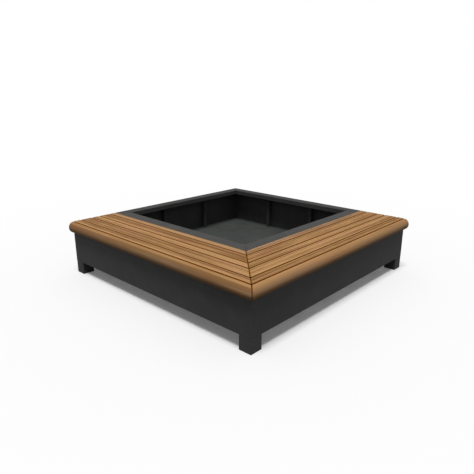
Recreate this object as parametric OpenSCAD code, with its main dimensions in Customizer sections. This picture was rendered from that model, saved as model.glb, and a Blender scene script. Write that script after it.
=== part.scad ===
// Square planter with a timber seat on two neighbouring sides, in millimetres.
// Folded sheet steel on four box feet; hardwood slats are screwed on from below.
// The origin is on the ground, under the middle of the square steel body.
// The seats are on the front (-Y) and the right (+X) and meet at a mitre joint.
// The body is the same on both sides of the diagonal through that mitre, so each
// piece of the right seat is the front seat's piece, mirrored in the diagonal.

/* [Body] */
// Side of the square steel body
body_w = 2000; // [1700:10:2400]
// Height of the rim and of the seat above the ground
body_h = 450; // [400:5:520]
// Thickness of the sheet
sheet_t = 3; // [2:0.5:4]
// Width of the flat rim round the planting tub
rim_w = 96; // [80:1:120]
// Height of the return lip on the rim's inner edge
lip_h = 40; // [20:1:60]
// Width of the folded ledge that the seat's edges rest on
ledge_w = 25; // [22:1:30]
// Width of the folded flange along the bottom of the seat panels
flange_w = 40; // [34:1:50]

/* [Seat] */
// Thickness of the flat slats
slat_t = 45; // [38:1:60]
// Width of a narrow slat
narrow_w = 64; // [54:1:75]
// Width of a wide slat
wide_w = 99; // [85:1:115]
// Width of the slat beside the rim
inner_w = 59; // [50:1:75]
// Open joint between two slats
slat_gap = 6; // [4:0.5:9]
// Open joint between the last slat and the tub
tub_gap = 2; // [1:0.5:5]
// Open joint at the mitre
mitre_gap = 3; // [2:0.5:6]
// Radius on the long edges of the slats
slat_edge_r = 3.5; // [2:0.5:5]

/* [Nosing] */
// How far the nosing stands out from the steel panel
nosing_out = 43; // [40:1:48]
// Height of the nosing
nosing_h = 98; // [94:1:106]

/* [Feet] */
// Height of the feet, up to the bottom edge of the panels
foot_h = 102; // [85:1:130]
// Side of the square foot
foot_w = 98; // [88:1:115]
// Wall of the foot's tube
foot_wall = 4; // [3:0.5:6]
// Thickness of the foot's top plate
foot_top_t = 4; // [3:0.5:8]
// Thickness of the base plate
base_t = 6; // [4:0.5:10]
// Diameter of the ground anchor hole
anchor_d = 14; // [10:0.5:18]
// Diameter of the hole in the top plate that lets a socket through
access_d = 30; // [24:1:36]

/* [Tub] */
// Width of an upright wall rib
rib_w = 30; // [24:1:60]
// Depth of an upright wall rib
rib_d = 50; // [30:1:60]
// Diameter of a drain hole
drain_d = 30; // [16:1:50]
// Distance of the outer drain holes from the tub's front and right walls
drain_in = 120; // [110:1:150]
// Distance of the first drain hole from the tub's left wall
drain_left_in = 300; // [200:5:400]
// Height of the top-hat stiffeners under the floor
hat_h = 30; // [20:1:50]
// Width of a stiffener's crown
hat_w = 50; // [40:1:70]
// Width of each foot flange of a stiffener
hat_foot = 25; // [15:1:35]
// How far the stiffeners stay back from the tub's walls
hat_back = 100; // [90:1:140]

/* [Seat support] */
// Width of a bulkhead's folded top
bulkhead_w = 40; // [34:1:60]
// Diameter of the lightening holes in a bulkhead
lighten_d = 110; // [60:1:130]
// Sheet left between a bulkhead's two lightening holes
lighten_gap = 55; // [30:1:70]
// Width of the plate under the mitre
mitre_plate_w = 130; // [120:1:170]
// Distance of the screws under the mitre from that plate's edge
mitre_screw_edge = 28; // [20:1:34]

/* [Fasteners] */
// Diameter of the wood screws
screw_d = 6; // [5:0.5:7]
// Length that a slat screw goes into the timber
slat_bite = 30; // [20:1:34]
// Length that a nosing screw goes into the timber
nosing_bite = 28; // [18:1:32]
// Diameter of a screw head
screw_head_d = 12; // [10:0.5:13]
// Thickness of a screw head
screw_head_h = 4; // [3:0.5:5]
// Diameter of the foot bolts
bolt_d = 10; // [8:1:12]
// Width across the flats of the bolt heads and nuts
hex_w = 16; // [14:1:18]
// Height of the bolt heads and nuts
hex_h = 7; // [5:0.5:9]
// Length of a foot bolt past its nut
bolt_end = 3; // [1:0.5:6]
// Distance of a foot bolt from the foot's inner face
bolt_edge_in = 33; // [28:1:38]
// Distance of the first nosing screw from the nosing's outer end
nosing_end_in = 60; // [45:1:90]
// Extra length of the nosing screws' slots, which lets the mitre be drawn tight
slot_play = 8; // [4:0.5:12]
// Radial clearance of a screw or bolt in its hole
hole_clear = 0.5; // [0.3:0.1:1]
// Radial clearance of a thread in the timber or in its nut
thread_clear = 0.1; // [0.05:0.05:0.2]

/* [Hidden] */
SIDES = ["front", "right"];
STEEL = "#3a3c3f";
TIMBER = "#a8824f";
ZINC = "#9a9ea3";
// Facets of a drawn circle; every one is a true round
ROUND = 48;

// Half of the body's side: its faces lie at plus and minus this
half = body_w / 2;
// Widths of the flat slats, from the nosing inwards
slat_ws = [narrow_w, wide_w, narrow_w, wide_w, inner_w];
// Inset of a slat's outer edge from the face of the body
function slat_in(i) = i == 0 ? slat_gap : slat_in(i - 1) + slat_ws[i - 1] + slat_gap;
function slat_mid(i) = slat_in(i) + slat_ws[i] / 2;
last_slat = len(slat_ws) - 1;
// Depth of the seat, from the body's face to the tub's outer face
seat_d = slat_in(last_slat) + slat_ws[last_slat] + tub_gap;
// The tub is a square from -half to tub_x along X, and from -tub_x to half along Y
tub_x = half - seat_d;
tub_w = body_w - seat_d;
tub_mid = (tub_x - half) / 2;
// Underside of the flat slats
seat_z = body_h - slat_t;
// Upper face of the sheet along the bottom
floor_z = foot_h + sheet_t;
pilot_d = screw_d + 2 * thread_clear;
screw_hole_d = screw_d + 2 * hole_clear;
bolt_hole_d = bolt_d + 2 * hole_clear;
// How far a cut runs past the face that it opens
CUT = 1;

// Mirrored in the diagonal through the mitre joint: front becomes right, left becomes rear
module across_diagonal() { mirror([1, 1, 0]) children(); }
module on_side(side) {
  if (side == "front" || side == "left") children();
  else across_diagonal() children();
}

// A box from its lowest to its highest corner
module span(low, high) { translate(low) cube([high.x - low.x, high.y - low.y, high.z - low.z]); }

// A prism over a flat outline, tall enough to cut anything
module column(points) {
  translate([0, 0, -CUT]) linear_extrude(height = body_h + 2 * CUT) polygon(points);
}

// The quarters that the mitres of the body and of the tub leave to the front and to the left
module body_front_quarter() { column([[-half, -half], [half, -half], [0, 0]]); }
module body_left_quarter() { column([[-half, -half], [0, 0], [-half, half]]); }
module tub_front_quarter() { column([[-half, -tub_x], [tub_x, -tub_x], [tub_mid, -tub_mid]]); }
module tub_left_quarter() { column([[-half, -tub_x], [tub_mid, -tub_mid], [-half, half]]); }

// Where things stand along the front seat
bulkhead_count = 4;
// The last bulkhead stays this far off the plate under the mitre
bulkhead_clear = 10;
mitre_reach = mitre_plate_w / sqrt(2);
bulkhead_pitch = (tub_w - mitre_reach - bulkhead_clear - bulkhead_w / 2) / bulkhead_count;
function bulkhead_x(k) = -half + k * bulkhead_pitch;
// The slats' outer ends are screwed down on the middle of the left panel's ledge
ledge_screw_x = -half + (sheet_t + ledge_w) / 2;
// At the mitre each slat is screwed down this far back from the diagonal, along the slat
mitre_screw_back = (mitre_plate_w / 2 - mitre_screw_edge) * sqrt(2);
function mitre_screw_x(i) = half - slat_mid(i) - mitre_screw_back;
function slat_screw_xs(i) = concat(
  [ledge_screw_x],
  [for (k = [1 : bulkhead_count]) bulkhead_x(k)],
  [mitre_screw_x(i)]
);
// The nosing screws stand midway between the bulkheads and near the outer end, and two
// more stand at these shares of the bay beside the corner
corner_shares = [0.4, 0.8];
nosing_screw_z = (seat_z - sheet_t + body_h - nosing_h) / 2;
corner_bay = half - bulkhead_x(bulkhead_count);
nosing_screw_xs = concat(
  [-half + nosing_end_in],
  [for (k = [1 : bulkhead_count]) bulkhead_x(k) - bulkhead_pitch / 2],
  [for (share = corner_shares) bulkhead_x(bulkhead_count) + share * corner_bay]
);

// A foot bolt stands on the middle line of the flange's free width
bolt_in = (flange_w + sheet_t) / 2;
bolt_along = foot_w - bolt_edge_in;
module at_foot_bolts() {
  for (p = [[bolt_in, bolt_along], [bolt_along, bolt_in]]) translate([p.x, p.y, 0]) children();
}
// The corner of the body as +X and +Y of a foot's own corner
module at_corner(name) {
  turn = name == "front_left" ? 0 : name == "front_right" ? 90 : name == "rear_right" ? 180 : 270;
  rotate([0, 0, turn]) translate([-half, -half, 0]) children();
}
CORNERS = ["front_left", "front_right", "rear_right", "rear_left"];

// Folded panels

module flat_rim() {
  // Rim of the tub's left wall with its return lip, before the mitre cuts
  span([-half, -tub_x, body_h - sheet_t], [-half + rim_w, half, body_h]);
  span([-half + rim_w - sheet_t, -tub_x, body_h - lip_h], [-half + rim_w, half, body_h]);
}

module foot_bolt_holes() {
  // Holes through the sheet that lies on the feet
  for (name = CORNERS) at_corner(name) at_foot_bolts()
    translate([0, 0, foot_h - CUT]) cylinder(d = bolt_hole_d, h = sheet_t + 2 * CUT, $fn = ROUND);
}

module screw_slot() {
  // A screw hole drawn out along X, for the sheet
  h = sheet_t + 2 * CUT;
  for (s = [-1, 1])
    translate([s * slot_play / 2, 0, 0]) cylinder(d = screw_hole_d, h = h, $fn = ROUND);
  translate([-slot_play / 2, -screw_hole_d / 2, 0]) cube([slot_play, screw_hole_d, h]);
}

module seat_panel() {
  // Outer panel below a seat, with the ledge on top and the flange at the bottom folded inwards
  color(STEEL) difference() {
    intersection() {
      union() {
        span([-half, -half, foot_h], [half, -half + sheet_t, seat_z]);
        span([-half, -half, seat_z - sheet_t], [half, -half + ledge_w, seat_z]);
        span([-half, -half, foot_h], [half, -half + flange_w, floor_z]);
      }
      body_front_quarter();
    }
    for (x = nosing_screw_xs)
      translate([x, -half - CUT, nosing_screw_z]) rotate([-90, 0, 0]) screw_slot();
    foot_bolt_holes();
  }
}

module rim_panel() {
  // Outer panel of the tub, with the rim; it runs on, lower, past the end of the front seat
  color(STEEL) difference() {
    union() {
      intersection() {
        union() {
          span([-half, -half, foot_h], [-half + sheet_t, half, seat_z]);
          span([-half, -tub_x, foot_h], [-half + sheet_t, half, body_h - sheet_t]);
          span([-half, -half, seat_z - sheet_t], [-half + ledge_w, -tub_x, seat_z]);
          span([-half, -half, foot_h], [-half + flange_w, -tub_x, floor_z]);
        }
        body_left_quarter();
      }
      intersection() {
        flat_rim();
        tub_left_quarter();
      }
    }
    for (i = [0 : last_slat])
      translate([ledge_screw_x, -half + slat_mid(i), seat_z - sheet_t - CUT])
        cylinder(d = screw_hole_d, h = sheet_t + 2 * CUT, $fn = ROUND);
    foot_bolt_holes();
  }
}

module inner_wall() {
  // Wall of the tub behind the front seat, folded to the same rim
  color(STEEL) {
    intersection() {
      span([-half + sheet_t, -tub_x, foot_h], [tub_x, -tub_x + sheet_t, body_h - sheet_t]);
      tub_front_quarter();
    }
    intersection() {
      union() {
        span([-half, -tub_x, body_h - sheet_t], [tub_x, -tub_x + rim_w, body_h]);
        span([-half, -tub_x + rim_w - sheet_t, body_h - lip_h], [tub_x, -tub_x + rim_w, body_h]);
      }
      tub_front_quarter();
    }
  }
}

// Tub

// The stiffeners divide the tub into equal bays, and the drain holes lie in the bays
stiffener_count = 4;
function stiffener_y(k) = -tub_x + k * tub_w / (stiffener_count + 1);
function bay_mid_y(bay) = (stiffener_y(bay) + stiffener_y(bay + 1)) / 2;
drain_points = [
  [tub_mid, bay_mid_y(2)],
  for (x = [-half + drain_left_in, tub_mid, tub_x - drain_in]) [x, -tub_x + drain_in],
  for (bay = [2, 3]) [tub_x - drain_in, bay_mid_y(bay)]
];

module tub_floor() {
  color(STEEL) difference() {
    span([-half + sheet_t, -tub_x + sheet_t, foot_h], [tub_x - sheet_t, half - sheet_t, floor_z]);
    for (p = drain_points)
      translate([p.x, p.y, foot_h - CUT]) cylinder(d = drain_d, h = sheet_t + 2 * CUT, $fn = ROUND);
    foot_bolt_holes();
  }
}

module floor_stiffener(k) {
  low_z = foot_h - hat_h;
  y = stiffener_y(k);
  x0 = -half + hat_back;
  x1 = tub_x - hat_back;
  color(STEEL) {
    span([x0, y - hat_w / 2, low_z], [x1, y + hat_w / 2, low_z + sheet_t]);
    for (s = [-1, 1]) {
      a = y + s * hat_w / 2;
      b = a - s * sheet_t;
      c = a + s * hat_foot;
      span([x0, min(a, b), low_z], [x1, max(a, b), foot_h]);
      span([x0, min(b, c), foot_h - sheet_t], [x1, max(b, c), foot_h]);
    }
  }
}

// The ribs of a wall leave equal bays between them, clear of the tub's other walls
rib_count = 2;
rib_bay = (tub_w - 2 * sheet_t - rib_count * rib_w) / (rib_count + 1);
function rib_y(k) = half - sheet_t - k * (rib_bay + rib_w) + rib_w / 2;

module wall_rib(k) {
  // Channel on the left wall, open towards that wall
  y = rib_y(k);
  x0 = -half + sheet_t;
  x1 = x0 + rib_d;
  z1 = body_h - sheet_t;
  color(STEEL) {
    span([x1 - sheet_t, y - rib_w / 2, floor_z], [x1, y + rib_w / 2, z1]);
    span([x0, y - rib_w / 2, floor_z], [x1, y - rib_w / 2 + sheet_t, z1]);
    span([x0, y + rib_w / 2 - sheet_t, floor_z], [x1, y + rib_w / 2, z1]);
  }
}

// Feet

module foot(name) {
  color(STEEL) at_corner(name) difference() {
    span([0, 0, 0], [foot_w, foot_w, foot_h]);
    span([foot_wall, foot_wall, -CUT], [foot_w - foot_wall, foot_w - foot_wall, foot_h - foot_top_t]);
    translate([foot_w / 2, foot_w / 2, 0]) cylinder(d = access_d, h = foot_h + CUT, $fn = ROUND);
    at_foot_bolts() cylinder(d = bolt_hole_d, h = foot_h + CUT, $fn = ROUND);
  }
}

module base_plate(name) {
  color(ZINC) at_corner(name) difference() {
    span([foot_wall, foot_wall, 0], [foot_w - foot_wall, foot_w - foot_wall, base_t]);
    translate([foot_w / 2, foot_w / 2, -CUT]) cylinder(d = anchor_d, h = base_t + 2 * CUT, $fn = ROUND);
  }
}

module hexagon(h) { cylinder(d = hex_w / cos(30), h = h, $fn = 6); }

module foot_bolts() {
  tail = foot_top_t + hex_h + bolt_end;
  color(ZINC) for (name = CORNERS) at_corner(name) at_foot_bolts() {
    translate([0, 0, floor_z]) hexagon(hex_h);
    translate([0, 0, foot_h - tail]) cylinder(d = bolt_d, h = tail + sheet_t + CUT, $fn = ROUND);
  }
}

module foot_nuts() {
  color(ZINC) for (name = CORNERS) at_corner(name) at_foot_bolts()
    translate([0, 0, foot_h - foot_top_t - hex_h]) difference() {
      hexagon(hex_h);
      translate([0, 0, -CUT]) cylinder(d = bolt_d + 2 * thread_clear, h = hex_h + 2 * CUT, $fn = ROUND);
    }
}

// Seat supports

module bulkhead(k) {
  // Upright plate across the seat box, folded on three edges; the slats are screwed to its top
  x = bulkhead_x(k);
  x0 = x - bulkhead_w / 2;
  x1 = x + bulkhead_w / 2;
  y0 = -half + sheet_t;
  y1 = -tub_x;
  under_ledge = seat_z - sheet_t;
  color(STEEL) difference() {
    union() {
      span([x0, y0, floor_z], [x0 + sheet_t, y1, under_ledge]);
      span([x0, y0, floor_z], [x1, y0 + sheet_t, under_ledge]);
      span([x0, y1 - sheet_t, floor_z], [x1, y1, seat_z]);
      span([x0, -half + ledge_w, under_ledge], [x1, y1, seat_z]);
    }
    for (s = [-1, 1])
      translate([x0 - CUT, (y0 + y1) / 2 + s * (lighten_d + lighten_gap) / 2, (floor_z + seat_z) / 2])
        rotate([0, 90, 0]) cylinder(d = lighten_d, h = sheet_t + 2 * CUT, $fn = ROUND);
    for (i = [0 : last_slat])
      translate([x, -half + slat_mid(i), under_ledge - CUT])
        cylinder(d = screw_hole_d, h = sheet_t + 2 * CUT, $fn = ROUND);
  }
}

module mitre_bearer() {
  // Plate under the mitre joint on one upright web along the diagonal
  reach = 2 * seat_d;
  color(STEEL) difference() {
    union() {
      intersection() {
        translate([half, -half, 0]) rotate([0, 0, 135])
          span([0, -mitre_plate_w / 2, seat_z - sheet_t], [reach, mitre_plate_w / 2, seat_z]);
        span([0, -half + ledge_w, 0], [half - ledge_w, 0, body_h]);
      }
      intersection() {
        translate([half, -half, 0]) rotate([0, 0, 135])
          span([0, -sheet_t / 2, floor_z], [reach, sheet_t / 2, seat_z - sheet_t]);
        span([0, -half + sheet_t, 0], [half - sheet_t, 0, body_h]);
      }
    }
    // The tub's corner
    span([-half, -tub_x, -CUT], [tub_x, half, body_h]);
    for (i = [0 : last_slat]) for (side = SIDES) on_side(side)
      translate([mitre_screw_x(i), -half + slat_mid(i), seat_z - sheet_t - CUT])
        cylinder(d = screw_hole_d, h = sheet_t + 2 * CUT, $fn = ROUND);
  }
}

// Timber

module slat_section(w) {
  // End view of a flat slat: square below, with rounded upper edges
  square([w, slat_t - slat_edge_r]);
  translate([slat_edge_r, 0]) square([w - 2 * slat_edge_r, slat_t]);
  for (x = [slat_edge_r, w - slat_edge_r])
    translate([x, slat_t - slat_edge_r]) circle(r = slat_edge_r, $fn = ROUND);
}

// The nosing is one round, through both its edges at the steel panel and its full depth midway
nosing_r = (nosing_h * nosing_h / 4 + nosing_out * nosing_out) / (2 * nosing_out);

module nosing_section() {
  // End view of the nosing: x runs outwards from the panel's face, y down from the seat
  difference() {
    intersection() {
      translate([nosing_out - nosing_r, nosing_h / 2]) circle(r = nosing_r, $fn = 2 * ROUND);
      square([nosing_out, nosing_h]);
    }
    difference() {
      translate([-slat_edge_r, -slat_edge_r]) square(2 * slat_edge_r);
      translate([slat_edge_r, slat_edge_r]) circle(r = slat_edge_r, $fn = ROUND);
    }
  }
}

// What the mitre leaves to the front seat: everything before a line half the joint from the diagonal
module front_of_mitre() {
  back = mitre_gap * sqrt(2) / 2;
  far = half + 2 * nosing_out;
  column([[-half, -far], [far - back, -far], [-back, 0], [-half, 0]]);
}

module slat(i) {
  color(TIMBER) difference() {
    intersection() {
      translate([-half, -half + slat_in(i), seat_z]) rotate([90, 0, 90])
        linear_extrude(height = 2 * half) slat_section(slat_ws[i]);
      front_of_mitre();
    }
    for (x = slat_screw_xs(i))
      translate([x, -half + slat_mid(i), seat_z - CUT])
        cylinder(d = pilot_d, h = slat_bite + 2 * CUT, $fn = ROUND);
  }
}

module nosing() {
  color(TIMBER) difference() {
    intersection() {
      translate([-half, -half, body_h]) rotate([90, 0, 90])
        linear_extrude(height = body_w + nosing_out) rotate(180) nosing_section();
      front_of_mitre();
    }
    for (x = nosing_screw_xs)
      translate([x, -half + CUT, nosing_screw_z]) rotate([90, 0, 0])
        cylinder(d = pilot_d, h = nosing_bite + 2 * CUT, $fn = ROUND);
  }
}

// Fasteners

module wood_screw(bite) {
  // The head's seat is at z = 0 and the shank points up
  translate([0, 0, -screw_head_h]) cylinder(d = screw_head_d, h = screw_head_h, $fn = ROUND);
  translate([0, 0, -CUT]) cylinder(d = screw_d, h = sheet_t + bite + CUT, $fn = ROUND);
}

module slat_screws() {
  color(ZINC) for (i = [0 : last_slat]) for (x = slat_screw_xs(i))
    translate([x, -half + slat_mid(i), seat_z - sheet_t]) wood_screw(slat_bite);
}

module nosing_screws() {
  color(ZINC) for (x = nosing_screw_xs)
    translate([x, -half + sheet_t, nosing_screw_z]) rotate([90, 0, 0]) wood_screw(nosing_bite);
}

on_side("front") seat_panel();  // panel_front
on_side("right") seat_panel();  // panel_right
on_side("rear") rim_panel();  // panel_rear
on_side("left") rim_panel();  // panel_left
on_side("front") inner_wall();  // inner_wall_front
on_side("right") inner_wall();  // inner_wall_right
tub_floor();
for (k = [1 : stiffener_count])
  floor_stiffener(k);
for (k = [1 : rib_count]) for (side = ["left", "rear"])
  on_side(side) wall_rib(k);
for (name = CORNERS) {
  foot(name);
  base_plate(name);
}
foot_bolts();
foot_nuts();
for (side = SIDES) for (k = [1 : bulkhead_count])
  on_side(side) bulkhead(k);
mitre_bearer();
for (side = SIDES) for (i = [0 : last_slat])
  on_side(side) slat(i);
for (side = SIDES) {
  on_side(side) nosing();
  on_side(side) slat_screws();
  on_side(side) nosing_screws();
}
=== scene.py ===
"""A square steel planter on corner feet, with a mitred timber seat along two of its sides."""

import math
import random

import bmesh
import bpy
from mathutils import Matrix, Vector


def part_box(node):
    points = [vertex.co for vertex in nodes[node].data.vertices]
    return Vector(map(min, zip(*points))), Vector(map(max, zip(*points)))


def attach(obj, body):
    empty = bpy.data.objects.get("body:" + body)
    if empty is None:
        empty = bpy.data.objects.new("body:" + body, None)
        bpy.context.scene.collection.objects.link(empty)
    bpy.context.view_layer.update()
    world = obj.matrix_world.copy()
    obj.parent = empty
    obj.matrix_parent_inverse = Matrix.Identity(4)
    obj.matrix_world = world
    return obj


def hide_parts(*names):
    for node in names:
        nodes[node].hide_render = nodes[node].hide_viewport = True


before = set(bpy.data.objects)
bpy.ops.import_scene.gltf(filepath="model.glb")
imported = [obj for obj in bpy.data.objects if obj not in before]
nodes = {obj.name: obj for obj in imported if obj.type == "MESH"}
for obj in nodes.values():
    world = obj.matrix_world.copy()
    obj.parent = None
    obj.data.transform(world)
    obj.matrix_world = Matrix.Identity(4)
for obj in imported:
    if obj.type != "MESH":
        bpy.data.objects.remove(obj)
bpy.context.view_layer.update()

# The view. The photograph looks down on the corner where the two seats meet, from about the
# height of a person's eyes. The body's edges in it give the camera's place and its lens.
eye = Vector((2.568, -2.801, 1.458))
eye_heading = math.radians(43.0)
eye_downward = math.radians(17.0)
film_width = 36.0
photo_width = 474.0
focal_pixels = 461.0

camera_data = bpy.data.cameras.new("camera")
camera_data.sensor_width = film_width
camera_data.lens = film_width * focal_pixels / photo_width
camera = bpy.data.objects.new("camera", camera_data)
forward = Vector((
    -math.sin(eye_heading) * math.cos(eye_downward),
    math.cos(eye_heading) * math.cos(eye_downward),
    -math.sin(eye_downward),
))
camera.location = eye
camera.rotation_euler = forward.to_track_quat("-Z", "Y").to_euler()
bpy.context.scene.collection.objects.link(camera)
bpy.context.scene.camera = camera

# The studio. A pale floor that fades into a white background, with a broad soft lamp high above
# the near corner and an even fill from all round, so that the body's shadow lies under it. The
# floor is pale where it is seen, and throws only a little light back up at the body.
floor_reach = 30.0
floor_shade = (0.880, 0.880, 0.880, 1.0)
floor_throwback = (0.24, 0.24, 0.24, 1.0)
floor_glow = 0.107
white = (1.0, 1.0, 1.0, 1.0)
fade_from = 1.9
fade_to = 4.5
fill_level = 0.26
lamp_level = 0.74
lamp_spread = math.radians(20.0)
to_lamp = Vector((0.16, -0.235, 1.0))


class Wire:
    """One socket of a drawing. Arithmetic on it adds Math nodes."""

    def __init__(self, drawing, socket):
        self.drawing = drawing
        self.socket = socket

    def math(self, operation, *values):
        sockets = dict(enumerate(values))
        return self.drawing.add("Math", {"operation": operation}, sockets)

    def __add__(self, other):
        return self.math("ADD", self, other)

    def __sub__(self, other):
        return self.math("SUBTRACT", self, other)

    def __rsub__(self, other):
        return self.math("SUBTRACT", other, self)

    def __mul__(self, other):
        return self.math("MULTIPLY", self, other)

    def __truediv__(self, other):
        return self.math("DIVIDE", self, other)

    def __pow__(self, other):
        return self.math("POWER", self, other)

    def __mod__(self, other):
        return self.math("FLOORED_MODULO", self, other)

    def __abs__(self):
        return self.math("ABSOLUTE", self)

    def most(self, other):
        return self.math("MAXIMUM", self, other)

    __radd__ = __add__
    __rmul__ = __mul__


class Drawing:
    """The nodes of a material or of the world."""

    def __init__(self, owner):
        owner.use_nodes = True
        self.owner = owner
        self.tree = owner.node_tree
        self.tree.nodes.clear()

    def add(self, kind, settings=None, sockets=None, out=0):
        made = self.tree.nodes.new("ShaderNode" + kind)
        for name, value in (settings or {}).items():
            setattr(made, name, value)
        for name, value in (sockets or {}).items():
            if isinstance(value, Wire):
                self.tree.links.new(value.socket, made.inputs[name])
            else:
                made.inputs[name].default_value = value
        return Wire(self, made.outputs[out]) if made.outputs else None

    def three(self, output):
        """Three numbers: with "Object" where a point is, in metres, with "Normal" how it faces."""
        vector = self.add("TexCoord", out=output)
        x = self.add("SeparateXYZ", None, {0: vector})
        y, z = (Wire(self, x.socket.node.outputs[axis]) for axis in (1, 2))
        return x, y, z

    def noise(self, x, y, z, detail=2.0, roughness=0.5):
        """Soft random values round 0.5 that change over about one unit of x, y and z."""
        where = self.add("CombineXYZ", None, {0: x, 1: y, 2: z})
        values = {"Vector": where, "Scale": 1.0, "Detail": detail, "Roughness": roughness}
        return self.add("TexNoise", None, values)

    def even_noise(self, place, rate, detail=2.0, roughness=0.5):
        """Noise alike in every direction, with about this many changes in a metre."""
        x, y, z = place
        return self.noise(x * rate, y * rate, z * rate, detail, roughness)

    def step(self, value, low, high):
        """0 below low and 1 above high, with a smooth change between them."""
        values = {"Value": value, "From Min": low, "From Max": high}
        return self.add("MapRange", {"interpolation_type": "SMOOTHSTEP"}, values)

    def blend(self, share, first, second):
        """Two colours mixed. A Mix node's colours are its sockets 6 and 7, and its output 2."""
        return self.add("Mix", {"data_type": "RGBA"}, {0: share, 6: first, 7: second}, 2)

    def finish(self, shader, kind="OutputMaterial"):
        self.add(kind, None, {"Surface": shader})
        return self.owner


def seen_directly(drawing):
    """1 on rays from the camera, and on those that a glossy or a clear surface sends on."""
    camera_ray = drawing.add("LightPath", out="Is Camera Ray")
    glossy_ray = drawing.add("LightPath", out="Is Glossy Ray")
    clear_ray = drawing.add("LightPath", out="Is Transmission Ray")
    return camera_ray.most(glossy_ray).most(clear_ray)


bpy.context.scene.view_settings.view_transform = "Standard"
world = bpy.data.worlds.new("studio")
bpy.context.scene.world = world
sky = Drawing(world)
shown_sky = sky.add("Background", None, {"Color": white, "Strength": 1.0})
lit_sky = sky.add("Background", None, {"Color": white, "Strength": fill_level})
either_sky = sky.add("MixShader", None, {0: seen_directly(sky), 1: lit_sky, 2: shown_sky})
sky.finish(either_sky, "OutputWorld")

lamp_data = bpy.data.lights.new("lamp", "SUN")
lamp_data.energy = lamp_level * math.pi * to_lamp.length
lamp_data.angle = lamp_spread
lamp = bpy.data.objects.new("lamp", lamp_data)
lamp.rotation_euler = to_lamp.to_track_quat("Z", "Y").to_euler()
bpy.context.scene.collection.objects.link(lamp)

pale = Drawing(bpy.data.materials.new("studio_floor"))
floor_x, floor_y = pale.three("Object")[:2]
from_middle = (floor_x * floor_x + floor_y * floor_y) ** 0.5
faded = pale.step(from_middle, fade_from, fade_to)
paint = pale.add("BsdfDiffuse", None, {"Color": floor_shade})
glow = pale.add("Emission", None, {"Color": white, "Strength": floor_glow})
near_floor = pale.add("AddShader", None, {0: paint, 1: glow})
far_floor = pale.add("Emission", None, {"Color": white, "Strength": 1.0})
shown_floor = pale.add("MixShader", None, {0: faded, 1: near_floor, 2: far_floor})
lit_floor = pale.add("BsdfDiffuse", None, {"Color": floor_throwback})
floor_surface = pale.add("MixShader", None, {0: seen_directly(pale), 1: lit_floor, 2: shown_floor})

floor_mesh = bpy.data.meshes.new("floor")
floor_corners = [
    (-floor_reach, -floor_reach, 0.0),
    (floor_reach, -floor_reach, 0.0),
    (floor_reach, floor_reach, 0.0),
    (-floor_reach, floor_reach, 0.0),
]
floor_mesh.from_pydata(floor_corners, [], [(0, 1, 2, 3)])
floor_mesh.materials.append(pale.finish(floor_surface))
floor = bpy.data.objects.new("floor", floor_mesh)
bpy.context.scene.collection.objects.link(floor)

# The feet. Four short tubes of square section with a welded top plate, powder-coated like the
# body and flush with its corners. A zinc-plated base plate in each takes the ground anchor, and
# two bolts through the top plate hold the body down.
tube_edge = 0.0028
inner_edge = 0.0008
weld_reach = 0.00001
flat_angle = math.radians(0.5)
square_within = math.radians(1.0)
least_fold = 0.02
least_flange = 0.0066
crease_angle = math.radians(30.0)
edge_steps = 4
mottle_rate = 5.0
grain_rate = 900.0
speckle_rate = 260.0
patch_rate = 2.2
patch_shift = 7.0
splash_height = 0.16
splash_share = 0.07
crystal_rate = 420.0
dull_patch_rate = 45.0
coat_dark = (0.049, 0.049, 0.049, 1.0)
coat_worn = (0.063, 0.063, 0.062, 1.0)
dust = (0.19, 0.19, 0.175, 1.0)
zinc_bright = (0.62, 0.63, 0.64, 1.0)
zinc_dull = (0.38, 0.39, 0.41, 1.0)


def powder_coat(name, dark, worn, top_colour, share, gloss):
    """Fine-textured powder coat. A top colour lies on upward faces; dust splashes up from the
    ground.
    """
    drawing = Drawing(bpy.data.materials.new(name))
    place = drawing.three("Object")
    x, y, z = place
    up = drawing.three("Normal")[2]
    mottle = drawing.even_noise(place, mottle_rate, 4.0, 0.6)
    fine = drawing.even_noise(place, grain_rate, 1.0)
    speckle = drawing.even_noise(place, speckle_rate, 3.0, 0.7)
    patch_along = x * patch_rate + patch_shift
    patches = drawing.noise(patch_along, y * patch_rate, z * patch_rate, 5.0, 0.62)
    colour = drawing.blend(drawing.step(mottle, 0.3, 0.7), dark, worn)
    # Upward faces take the top colour: dust on most parts, painted shade on the two bare rims.
    lying = drawing.step(up, 0.5, 0.95) * (0.45 + 0.55 * drawing.step(patches, 0.3, 0.72))
    splashed = drawing.step(z, splash_height, 0.0) * drawing.step(speckle, 0.52, 0.72)
    covered = share * lying + splash_share * splashed
    colour = drawing.blend(covered, colour, top_colour)
    height = fine + 0.6 * speckle
    bump = drawing.add("Bump", None, {"Strength": 0.12, "Distance": 0.0004, "Height": height})
    surface = drawing.add("BsdfPrincipled", None, {
        "Base Color": colour,
        "Roughness": 0.66 + 0.12 * mottle + 0.15 * covered,
        "Specular IOR Level": gloss,
        "Normal": bump,
    })
    return drawing.finish(surface)


def zinc_plate(name):
    """Zinc plating, with its small crystals and a few dull patches."""
    drawing = Drawing(bpy.data.materials.new(name))
    place = drawing.three("Object")
    crystals = drawing.even_noise(place, crystal_rate, 2.0, 0.6)
    patches = drawing.even_noise(place, dull_patch_rate, 3.0)
    share = drawing.step(crystals * 0.6 + patches * 0.4, 0.38, 0.6)
    bump = drawing.add("Bump", None, {"Strength": 0.1, "Distance": 0.0003, "Height": crystals})
    surface = drawing.add("BsdfPrincipled", None, {
        "Base Color": drawing.blend(share, zinc_dull, zinc_bright),
        "Roughness": 0.5 - 0.14 * share,
        "Metallic": 1.0,
        "Normal": bump,
    })
    return drawing.finish(surface)


def finish_node(node, material):
    """Gives a piece of the frame that keeps its own shape its finish."""
    for slot in nodes[node].material_slots:
        slot.material = material


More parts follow.
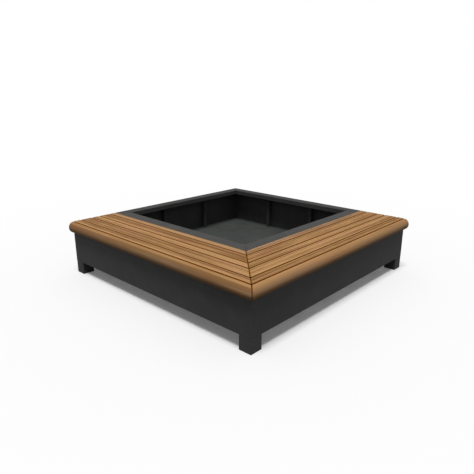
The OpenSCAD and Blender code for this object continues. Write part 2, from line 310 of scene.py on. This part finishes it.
def folds(form, convex):
    """The bends: long square edges between two faces wider than the sheet is thick."""
    found = []
    for edge in form.edges:
        if len(edge.link_faces) != 2 or edge.is_convex != convex:
            continue
        length = edge.calc_length()
        narrowest = min(face.calc_area() for face in edge.link_faces) / length
        is_square = abs(edge.calc_face_angle() - math.pi / 2) < square_within
        if length > least_fold and narrowest > least_flange and is_square:
            found.append(edge)
    return found


def eased(node, title, material, outer_edge):
    """A fuller piece in place of one of sheet or tube: the same form, with its bends rounded."""
    form = bmesh.new()
    form.from_mesh(nodes[node].data)
    bmesh.ops.remove_doubles(form, verts=form.verts, dist=weld_reach)
    bmesh.ops.dissolve_limit(form, angle_limit=flat_angle, verts=form.verts, edges=form.edges)
    for convex, radius in ((True, outer_edge), (False, inner_edge)):
        form.normal_update()
        bends = folds(form, convex)
        ends = list({corner for edge in bends for corner in edge.verts})
        bmesh.ops.bevel(
            form, geom=bends + ends, offset=radius, segments=edge_steps,
            profile=0.5, affect="EDGES",
        )
    mesh = bpy.data.meshes.new(title)
    form.to_mesh(mesh)
    form.free()
    mesh.shade_smooth()
    mesh.set_sharp_from_angle(angle=crease_angle)
    mesh.materials.append(material)
    piece = bpy.data.objects.new(title, mesh)
    bpy.context.scene.collection.objects.link(piece)
    smoothing = piece.modifiers.new("even_shading", "WEIGHTED_NORMAL")
    smoothing.keep_sharp = True
    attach(piece, "root")
    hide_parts(node)


coat = powder_coat("powder_coat", coat_dark, coat_worn, dust, share=0.012, gloss=0.1)
zinc = zinc_plate("zinc_plating")
corners = ("front_left", "front_right", "rear_right", "rear_left")
for corner in corners:
    eased(f"foot_{corner}", f"tube_foot_{corner}", coat, tube_edge)
    finish_node(f"base_plate_{corner}", zinc)
finish_node("foot_bolts", coat)
finish_node("foot_nuts", coat)

# The tub's floor and its stiffeners. A flat sheet with drain holes, welded in between the walls
# on top of four folded top-hat sections. The same powder coat, dulled by dry dust and water.
floor_coat_dark = (0.036, 0.040, 0.038, 1.0)
floor_coat_worn = (0.051, 0.056, 0.052, 1.0)
floor_gloss = 0.09
floor_dust = 0.07
bend_edge = 0.0028

floor_coat = powder_coat(
    "floor_coat", floor_coat_dark, floor_coat_worn, dust, share=floor_dust, gloss=floor_gloss,
)
finish_node("tub_floor", floor_coat)
stiffeners = sorted(name for name in nodes if name.startswith("floor_stiffener"))
for stiffener in stiffeners:
    eased(stiffener, f"folded_{stiffener}", coat, bend_edge)

# The body. Four side panels and the tub's two inner walls, each folded from one sheet, mitred
# and welded at the corners. Their tops make the tub's rim and the ledges below the seats. The two
# bare rims have a darker, rougher coat: painted shade that tones down their sheen at a grazing
# view.
# Painted shade for the two bare rims, against the sheen they catch at a grazing view.
rim_shade = (0.028, 0.027, 0.025, 1.0)

shaded_rim_coat = powder_coat("shaded_rim_coat", coat_dark, coat_worn, rim_shade, share=0.5, gloss=0.1)
for side in ("front", "right"):
    eased(f"panel_{side}", f"folded_panel_{side}", coat, bend_edge)
    eased(f"inner_wall_{side}", f"folded_inner_wall_{side}", coat, bend_edge)
for side in ("rear", "left"):
    eased(f"panel_{side}", f"folded_panel_{side}", shaded_rim_coat, bend_edge)

# The supports out of sight. Folded ribs that stiffen the two tall walls, and under each seat
# four bulkheads, with a plate and web below the mitre joint. All are welded in and coated.
supports = [name for name in nodes if name.startswith(("wall_rib", "bulkhead"))]
for support in sorted(supports):
    eased(support, f"folded_{support}", coat, bend_edge)
finish_node("mitre_bearer", coat)

# The seat slats. Planed hardwood, oiled, in two widths with a narrower one beside the rim. Their
# upper edges are rounded over and painted pale, partly where hands rub them and partly as a
# painted highlight, and the joints are painted dark, partly oil and dirt and partly painted shade.
# They are mitred at the corner and screwed on from below.
arris = 0.0035
lower_arris = 0.0012
end_ease = 0.0015
arris_steps = 5
bow = 0.0003
board_stations = 28
slats_a_side = 5
timber_straw = (0.492, 0.283, 0.108, 1.0)
timber_pink = (0.510, 0.268, 0.133, 1.0)
timber_olive = (0.212, 0.109, 0.032, 1.0)
timber_brown = (0.212, 0.090, 0.033, 1.0)
timber_ring = (0.120, 0.050, 0.014, 1.0)
# Pale colour for the upper edges: partly wear from hands, partly a painted highlight.
timber_rub_and_highlight = (0.620, 0.390, 0.200, 1.0)
# Dark colours for the joints: partly oil and dirt, partly painted shade in the gaps.
timber_oil_and_shade = (0.345, 0.138, 0.024, 1.0)
timber_stain_and_shade = (0.165, 0.058, 0.009, 1.0)
timber_weathered = (0.215, 0.165, 0.125, 1.0)
# Painted shade for faces that look down, on the nosings' lower round and under the slats.
timber_painted_shade = (0.050, 0.029, 0.015, 1.0)
# A painted grey sheen for the rim slat's edge by the rim.
timber_grey_sheen = (0.320, 0.275, 0.225, 1.0)
furthest_shift = 90.0
pith_sideways = 0.06
pith_depth = (0.02, 0.12)
fibre_lean = 0.012
ring_widths = (0.009, 0.015)
ring_sway = 0.03
ring_ripple = 0.002
band_apart = 9.0
drift_apart = 31.0
tone_spread = 0.015
tone_range = (0.645, 0.805)
late_wood_share = 0.1
pore_share = 0.3
oil_and_shade_share = 0.85
weather_share = 0.36
painted_shade_share = 0.95
# How far from a joint and from the mitre the dark paint of oil, dirt and painted shade reaches.
oil_and_shade_within = (0.0095, 0.0030)
stain_and_shade_within = (0.0052, 0.0018)
mitre_oil_and_shade_within = (0.0080, 0.0028)
mitre_stain_and_shade_within = (0.0048, 0.0022)
contrast_of = {"slat": 1.0, "rim_slat": 1.0, "nosing": 0.55}
# For each kind of length, how strong, how deep and how wide the pale rub and painted highlight
# are.
rub_and_highlight_share_of = {"slat": 0.8, "rim_slat": 0.4, "nosing": 0.6}
rub_and_highlight_depth_of = {"slat": 0.006, "rim_slat": 0.006, "nosing": 0.014}
rub_and_highlight_reach_of = {"slat": 0.018, "rim_slat": 0.028, "nosing": 0.028}
# Where the painted shade on downward faces begins, for each kind of length.
painted_shade_from = {"slat": -0.1, "rim_slat": -0.1, "nosing": 0.3}

# Which draw of the timber's figure each slat has, and how much paler it is than the others.
slat_lengths = {
    "slat_front_1": ("_f", -0.016),
    "slat_front_2": ("_k", -0.016),
    "slat_front_3": ("_k", 0.024),
    "slat_front_4": ("_l", -0.039),
    "slat_front_5": ("_k", 0.014),
    "slat_right_1": ("_k", -0.033),
    "slat_right_2": ("", 0.015),
    "slat_right_3": ("_g", -0.011),
    "slat_right_4": ("_h", -0.018),
    "slat_right_5": ("_l", 0.014),
}


def round_corner(middle, radius, start, stop, steps):
    """Points of an arc about a point, from one angle in degrees to another."""
    turns = [math.radians(start + (stop - start) * k / steps) for k in range(steps + 1)]
    return [
        (middle[0] + radius * math.cos(turn), middle[1] + radius * math.sin(turn))
        for turn in turns
    ]


def slat_outline(low, high):
    """The end view of a flat slat, across and up: small rounds below and larger ones above."""
    return (
        round_corner((low.y + lower_arris, low.z + lower_arris), lower_arris, 180, 270, 2)
        + round_corner((high.y - lower_arris, low.z + lower_arris), lower_arris, 270, 360, 2)
        + round_corner((high.y - arris, high.z - arris), arris, 0, 90, arris_steps)
        + round_corner((low.y + arris, high.z - arris), arris, 90, 180, arris_steps)
    )


def timber(name, side, low, high, role, pale, chance):
    """Oiled hardwood cut from one log: rings about a pith below the board, streaks and fibres."""
    drawing = Drawing(bpy.data.materials.new(name))
    x, y, z = drawing.three("Object")
    along, across = (x, y) if side == "front" else (0.0 - y, 0.0 - x)
    middle = (low.y + high.y) / 2
    shift = chance.uniform(0.0, furthest_shift)
    pith_across = middle + chance.uniform(-pith_sideways, pith_sideways)
    pith_up = low.z - chance.uniform(*pith_depth)
    lean = chance.uniform(-fibre_lean, fibre_lean)
    ring_width = chance.uniform(*ring_widths)
    paler = pale + chance.uniform(-tone_spread, tone_spread)
    contrast = contrast_of[role]

    def drawn_out(along_rate, across_rate, up_rate, detail, roughness=0.5, apart=0.0):
        """Noise drawn out along the board. A rate is about how many changes a metre has."""
        place_along = along * along_rate + (shift + apart)
        return drawing.noise(place_along, across * across_rate, z * up_rate, detail, roughness)

    sway = drawn_out(1.3, 7.0, 7.0, 3.0)
    ripple = drawn_out(6.0, 60.0, 60.0, 2.0)
    streak = drawn_out(0.35, 72.0, 30.0, 3.0, 0.55)
    band = drawn_out(0.2, 24.0, 16.0, 1.0, apart=band_apart)
    fibre = drawn_out(7.0, 420.0, 260.0, 2.0, 0.6)
    pore = drawn_out(38.0, 1500.0, 900.0, 1.0)
    cloud = drawn_out(3.6, 46.0, 30.0, 3.0, 0.6)
    drift = drawn_out(1.7, 4.0, 4.0, 2.0, apart=drift_apart)

    side_on = across - pith_across + lean * along + ring_sway * sway
    outward = (side_on * side_on + (z - pith_up) ** 2.0) ** 0.5
    ring = ((outward + ring_ripple * ripple) / ring_width) % 1.0
    late_wood = drawing.step(ring, 0.35, 0.85) * drawing.step(ring, 1.0, 0.9)

    rosy = 0.5 + 0.8 * contrast * (drawing.step(cloud, 0.40, 0.60) - 0.5)
    pale_tone = drawing.blend(rosy, timber_straw, timber_pink)
    dark_tone = drawing.blend(rosy, timber_olive, timber_brown)
    tone = 0.6 * streak + 0.4 * band + 0.25 * fibre + 0.2 * drift
    bright = 0.5 + contrast * (drawing.step(tone + paler, *tone_range) - 0.5)
    colour = drawing.blend(bright, dark_tone, pale_tone)
    colour = drawing.blend(late_wood_share * late_wood, colour, timber_ring)
    pores = drawing.step(pore, 0.36, 0.28)
    colour = drawing.blend(pore_share * pores, colour, timber_ring)

    # The upper edges are painted pale, partly where hands and clothes rub them and partly as a
    # painted highlight on the rounded arrises. A slat has a joint on either side, the slat by the
    # rim has one on its outer side only, and the nosing has one on its inner side.
    if role == "slat":
        to_groove = high.y - middle - abs(across - middle)
        to_rub_and_highlight = to_groove
    else:
        to_rub_and_highlight = high.y - across
        to_groove = to_rub_and_highlight if role == "nosing" else across - low.y
    near_top = drawing.step(z, high.z - rub_and_highlight_depth_of[role], high.z - 0.002)
    by_edge = drawing.step(to_rub_and_highlight, rub_and_highlight_reach_of[role], 0.009)
    rub_and_highlight = rub_and_highlight_share_of[role] * near_top * by_edge * (0.2 + 0.45 * drift)
    colour = drawing.blend(rub_and_highlight, colour, timber_rub_and_highlight)
    # The rim slat's edge by the rim is painted greyer and paler, as a painted sheen.
    if role == "rim_slat":
        grey_sheen = (0.08 + 0.16 * drift) * drawing.step(to_rub_and_highlight, 0.004, 0.022)
        colour = drawing.blend(grey_sheen, colour, timber_grey_sheen)

    # The joints and the mitre are painted dark, partly oil and dirt and partly painted shade in
    # the gaps, and oil and dirt darken the cut ends.
    facing_x, facing_y, facing_z = drawing.three("Normal")
    cut_end = drawing.step(abs(facing_x if side == "front" else facing_y), 0.5, 0.7)
    to_mitre = abs(x + y) * math.sqrt(0.5)
    mitre_oil_and_shade = drawing.step(to_mitre, *mitre_oil_and_shade_within)
    oil_and_shade = oil_and_shade_share * drawing.step(to_groove, *oil_and_shade_within).most(mitre_oil_and_shade)
    mitre_stain_and_shade = drawing.step(to_mitre, *mitre_stain_and_shade_within)
    joint_stain_and_shade = drawing.step(to_groove, *stain_and_shade_within).most(mitre_stain_and_shade)
    stain_and_shade = (0.8 + 0.2 * drift) * cut_end.most(joint_stain_and_shade)
    colour = drawing.blend(oil_and_shade, colour, timber_oil_and_shade)
    colour = drawing.blend(stain_and_shade, colour, timber_stain_and_shade)

    # The nosing's face greys in the weather, and what faces down is painted darker as painted
    # shade.
    if role == "nosing":
        in_patches = drawing.step(drift, 0.1, 0.7)
        weathered = weather_share * drawing.step(facing_z, 0.9, 0.3) * in_patches
        colour = drawing.blend(weathered, colour, timber_weathered)
    under = painted_shade_share * drawing.step(facing_z, painted_shade_from[role], -0.75)
    colour = drawing.blend(under, colour, timber_painted_shade)

    height = 0.5 * fibre - 0.5 * pores + 0.25 * late_wood
    bump = drawing.add("Bump", None, {"Strength": 0.25, "Distance": 0.0005, "Height": height})
    surface = drawing.add("BsdfPrincipled", None, {
        "Base Color": colour,
        "Roughness": 0.6 + 0.14 * fibre + 0.08 * pores,
        "Specular IOR Level": 0.04,
        "Normal": bump,
    })
    return drawing.finish(surface)


def board(node, title, side, outline, role, figure, pale):
    """A length with this end view, cut square at its outer end and mitred at the other."""
    chance = random.Random(node + figure)
    low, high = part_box(node.replace("right", "front"))
    first_low, first_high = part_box("slat_front_1")
    from_diagonal = -first_low.y - first_high.x
    middle_y = sum(point[0] for point in outline) / len(outline)
    middle_z = sum(point[1] for point in outline) / len(outline)
    widest = max(abs(point[0] - middle_y) for point in outline)
    tallest = max(abs(point[1] - middle_z) for point in outline)
    phase = chance.uniform(0.0, 2 * math.pi)
    form = bmesh.new()
    rings = []
    for k in range(board_stations + 1):
        share = k / board_stations
        start = low.x
        ease = 0.0
        drawn_in = 0.0
        if k in (0, board_stations):
            ease = end_ease
        else:
            start += end_ease
            drawn_in = bow * (0.5 - 0.5 * math.cos(2 * math.pi * share + phase) ** 2)
        ring = []
        for point in outline:
            across = middle_y + (point[0] - middle_y) * (1.0 - (ease + drawn_in) / widest)
            up = middle_z + (point[1] - middle_z) * (1.0 - (ease + drawn_in) / tallest)
            stop = -across - from_diagonal - (end_ease - ease) * math.sqrt(2)
            along = start + (stop - start) * share
            spot = (along, across, up) if side == "front" else (-across, -along, up)
            ring.append(form.verts.new(spot))
        rings.append(ring)
    for ring, following in zip(rings, rings[1:]):
        for k, corner in enumerate(ring):
            form.faces.new((corner, ring[k - 1], following[k - 1], following[k]))
    form.faces.new(rings[0])
    form.faces.new(rings[-1])
    bmesh.ops.recalc_face_normals(form, faces=form.faces)
    mesh = bpy.data.meshes.new(title)
    form.to_mesh(mesh)
    form.free()
    mesh.shade_smooth()
    mesh.set_sharp_from_angle(angle=crease_angle)
    mesh.materials.append(timber(title, side, low, high, role, pale, chance))
    piece = bpy.data.objects.new(title, mesh)
    bpy.context.scene.collection.objects.link(piece)
    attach(piece, "root")
    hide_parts(node)


for side in ("front", "right"):
    for number in range(1, slats_a_side + 1):
        slat = f"slat_{side}_{number}"
        outline = slat_outline(*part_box(f"slat_front_{number}"))
        role = "rim_slat" if number == slats_a_side else "slat"
        board(slat, f"planed_{slat}", side, outline, role, *slat_lengths[slat])

# The nosings. The thick outer length of each seat, of the same timber, shaped to one large
# round. It stands out past the steel panel and is screwed on from behind the panel.
nosing_steps = 24
nosing_lengths = {
    "nosing_front": ("_f", 0.034),
    "nosing_right": ("_c", 0.080),
}


def nosing_outline(low, high):
    """The end view of a nosing, across and up, with its flat back on the panel's face."""
    face = high.y
    depth = face - low.y
    half_height = (high.z - low.z) / 2
    radius = (half_height * half_height + depth * depth) / (2 * depth)
    middle = (low.y + radius, low.z + half_height)
    edge_across = face - arris - middle[0]
    edge_up = math.sqrt((radius - arris) ** 2 - edge_across ** 2)
    top_angle = math.degrees(math.atan2(edge_up, edge_across))
    foot_angle = 360.0 - math.degrees(math.atan2(half_height, face - middle[0]))
    return (
        round_corner((face - arris, middle[1] + edge_up), arris, 0, top_angle, arris_steps)
        + round_corner(middle, radius, top_angle, foot_angle, nosing_steps)[1:]
    )


for side in ("front", "right"):
    nosing = f"nosing_{side}"
    outline = nosing_outline(*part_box("nosing_front"))
    board(nosing, f"rounded_{nosing}", side, outline, "nosing", *nosing_lengths[nosing])

# The timber's screws. Zinc-plated pan-head screws up through the bulkheads into the slats, and
# outwards through the slots in the panels into the nosings.
for side in ("front", "right"):
    finish_node(f"slat_screws_{side}", zinc)
    finish_node(f"nosing_screws_{side}", zinc)
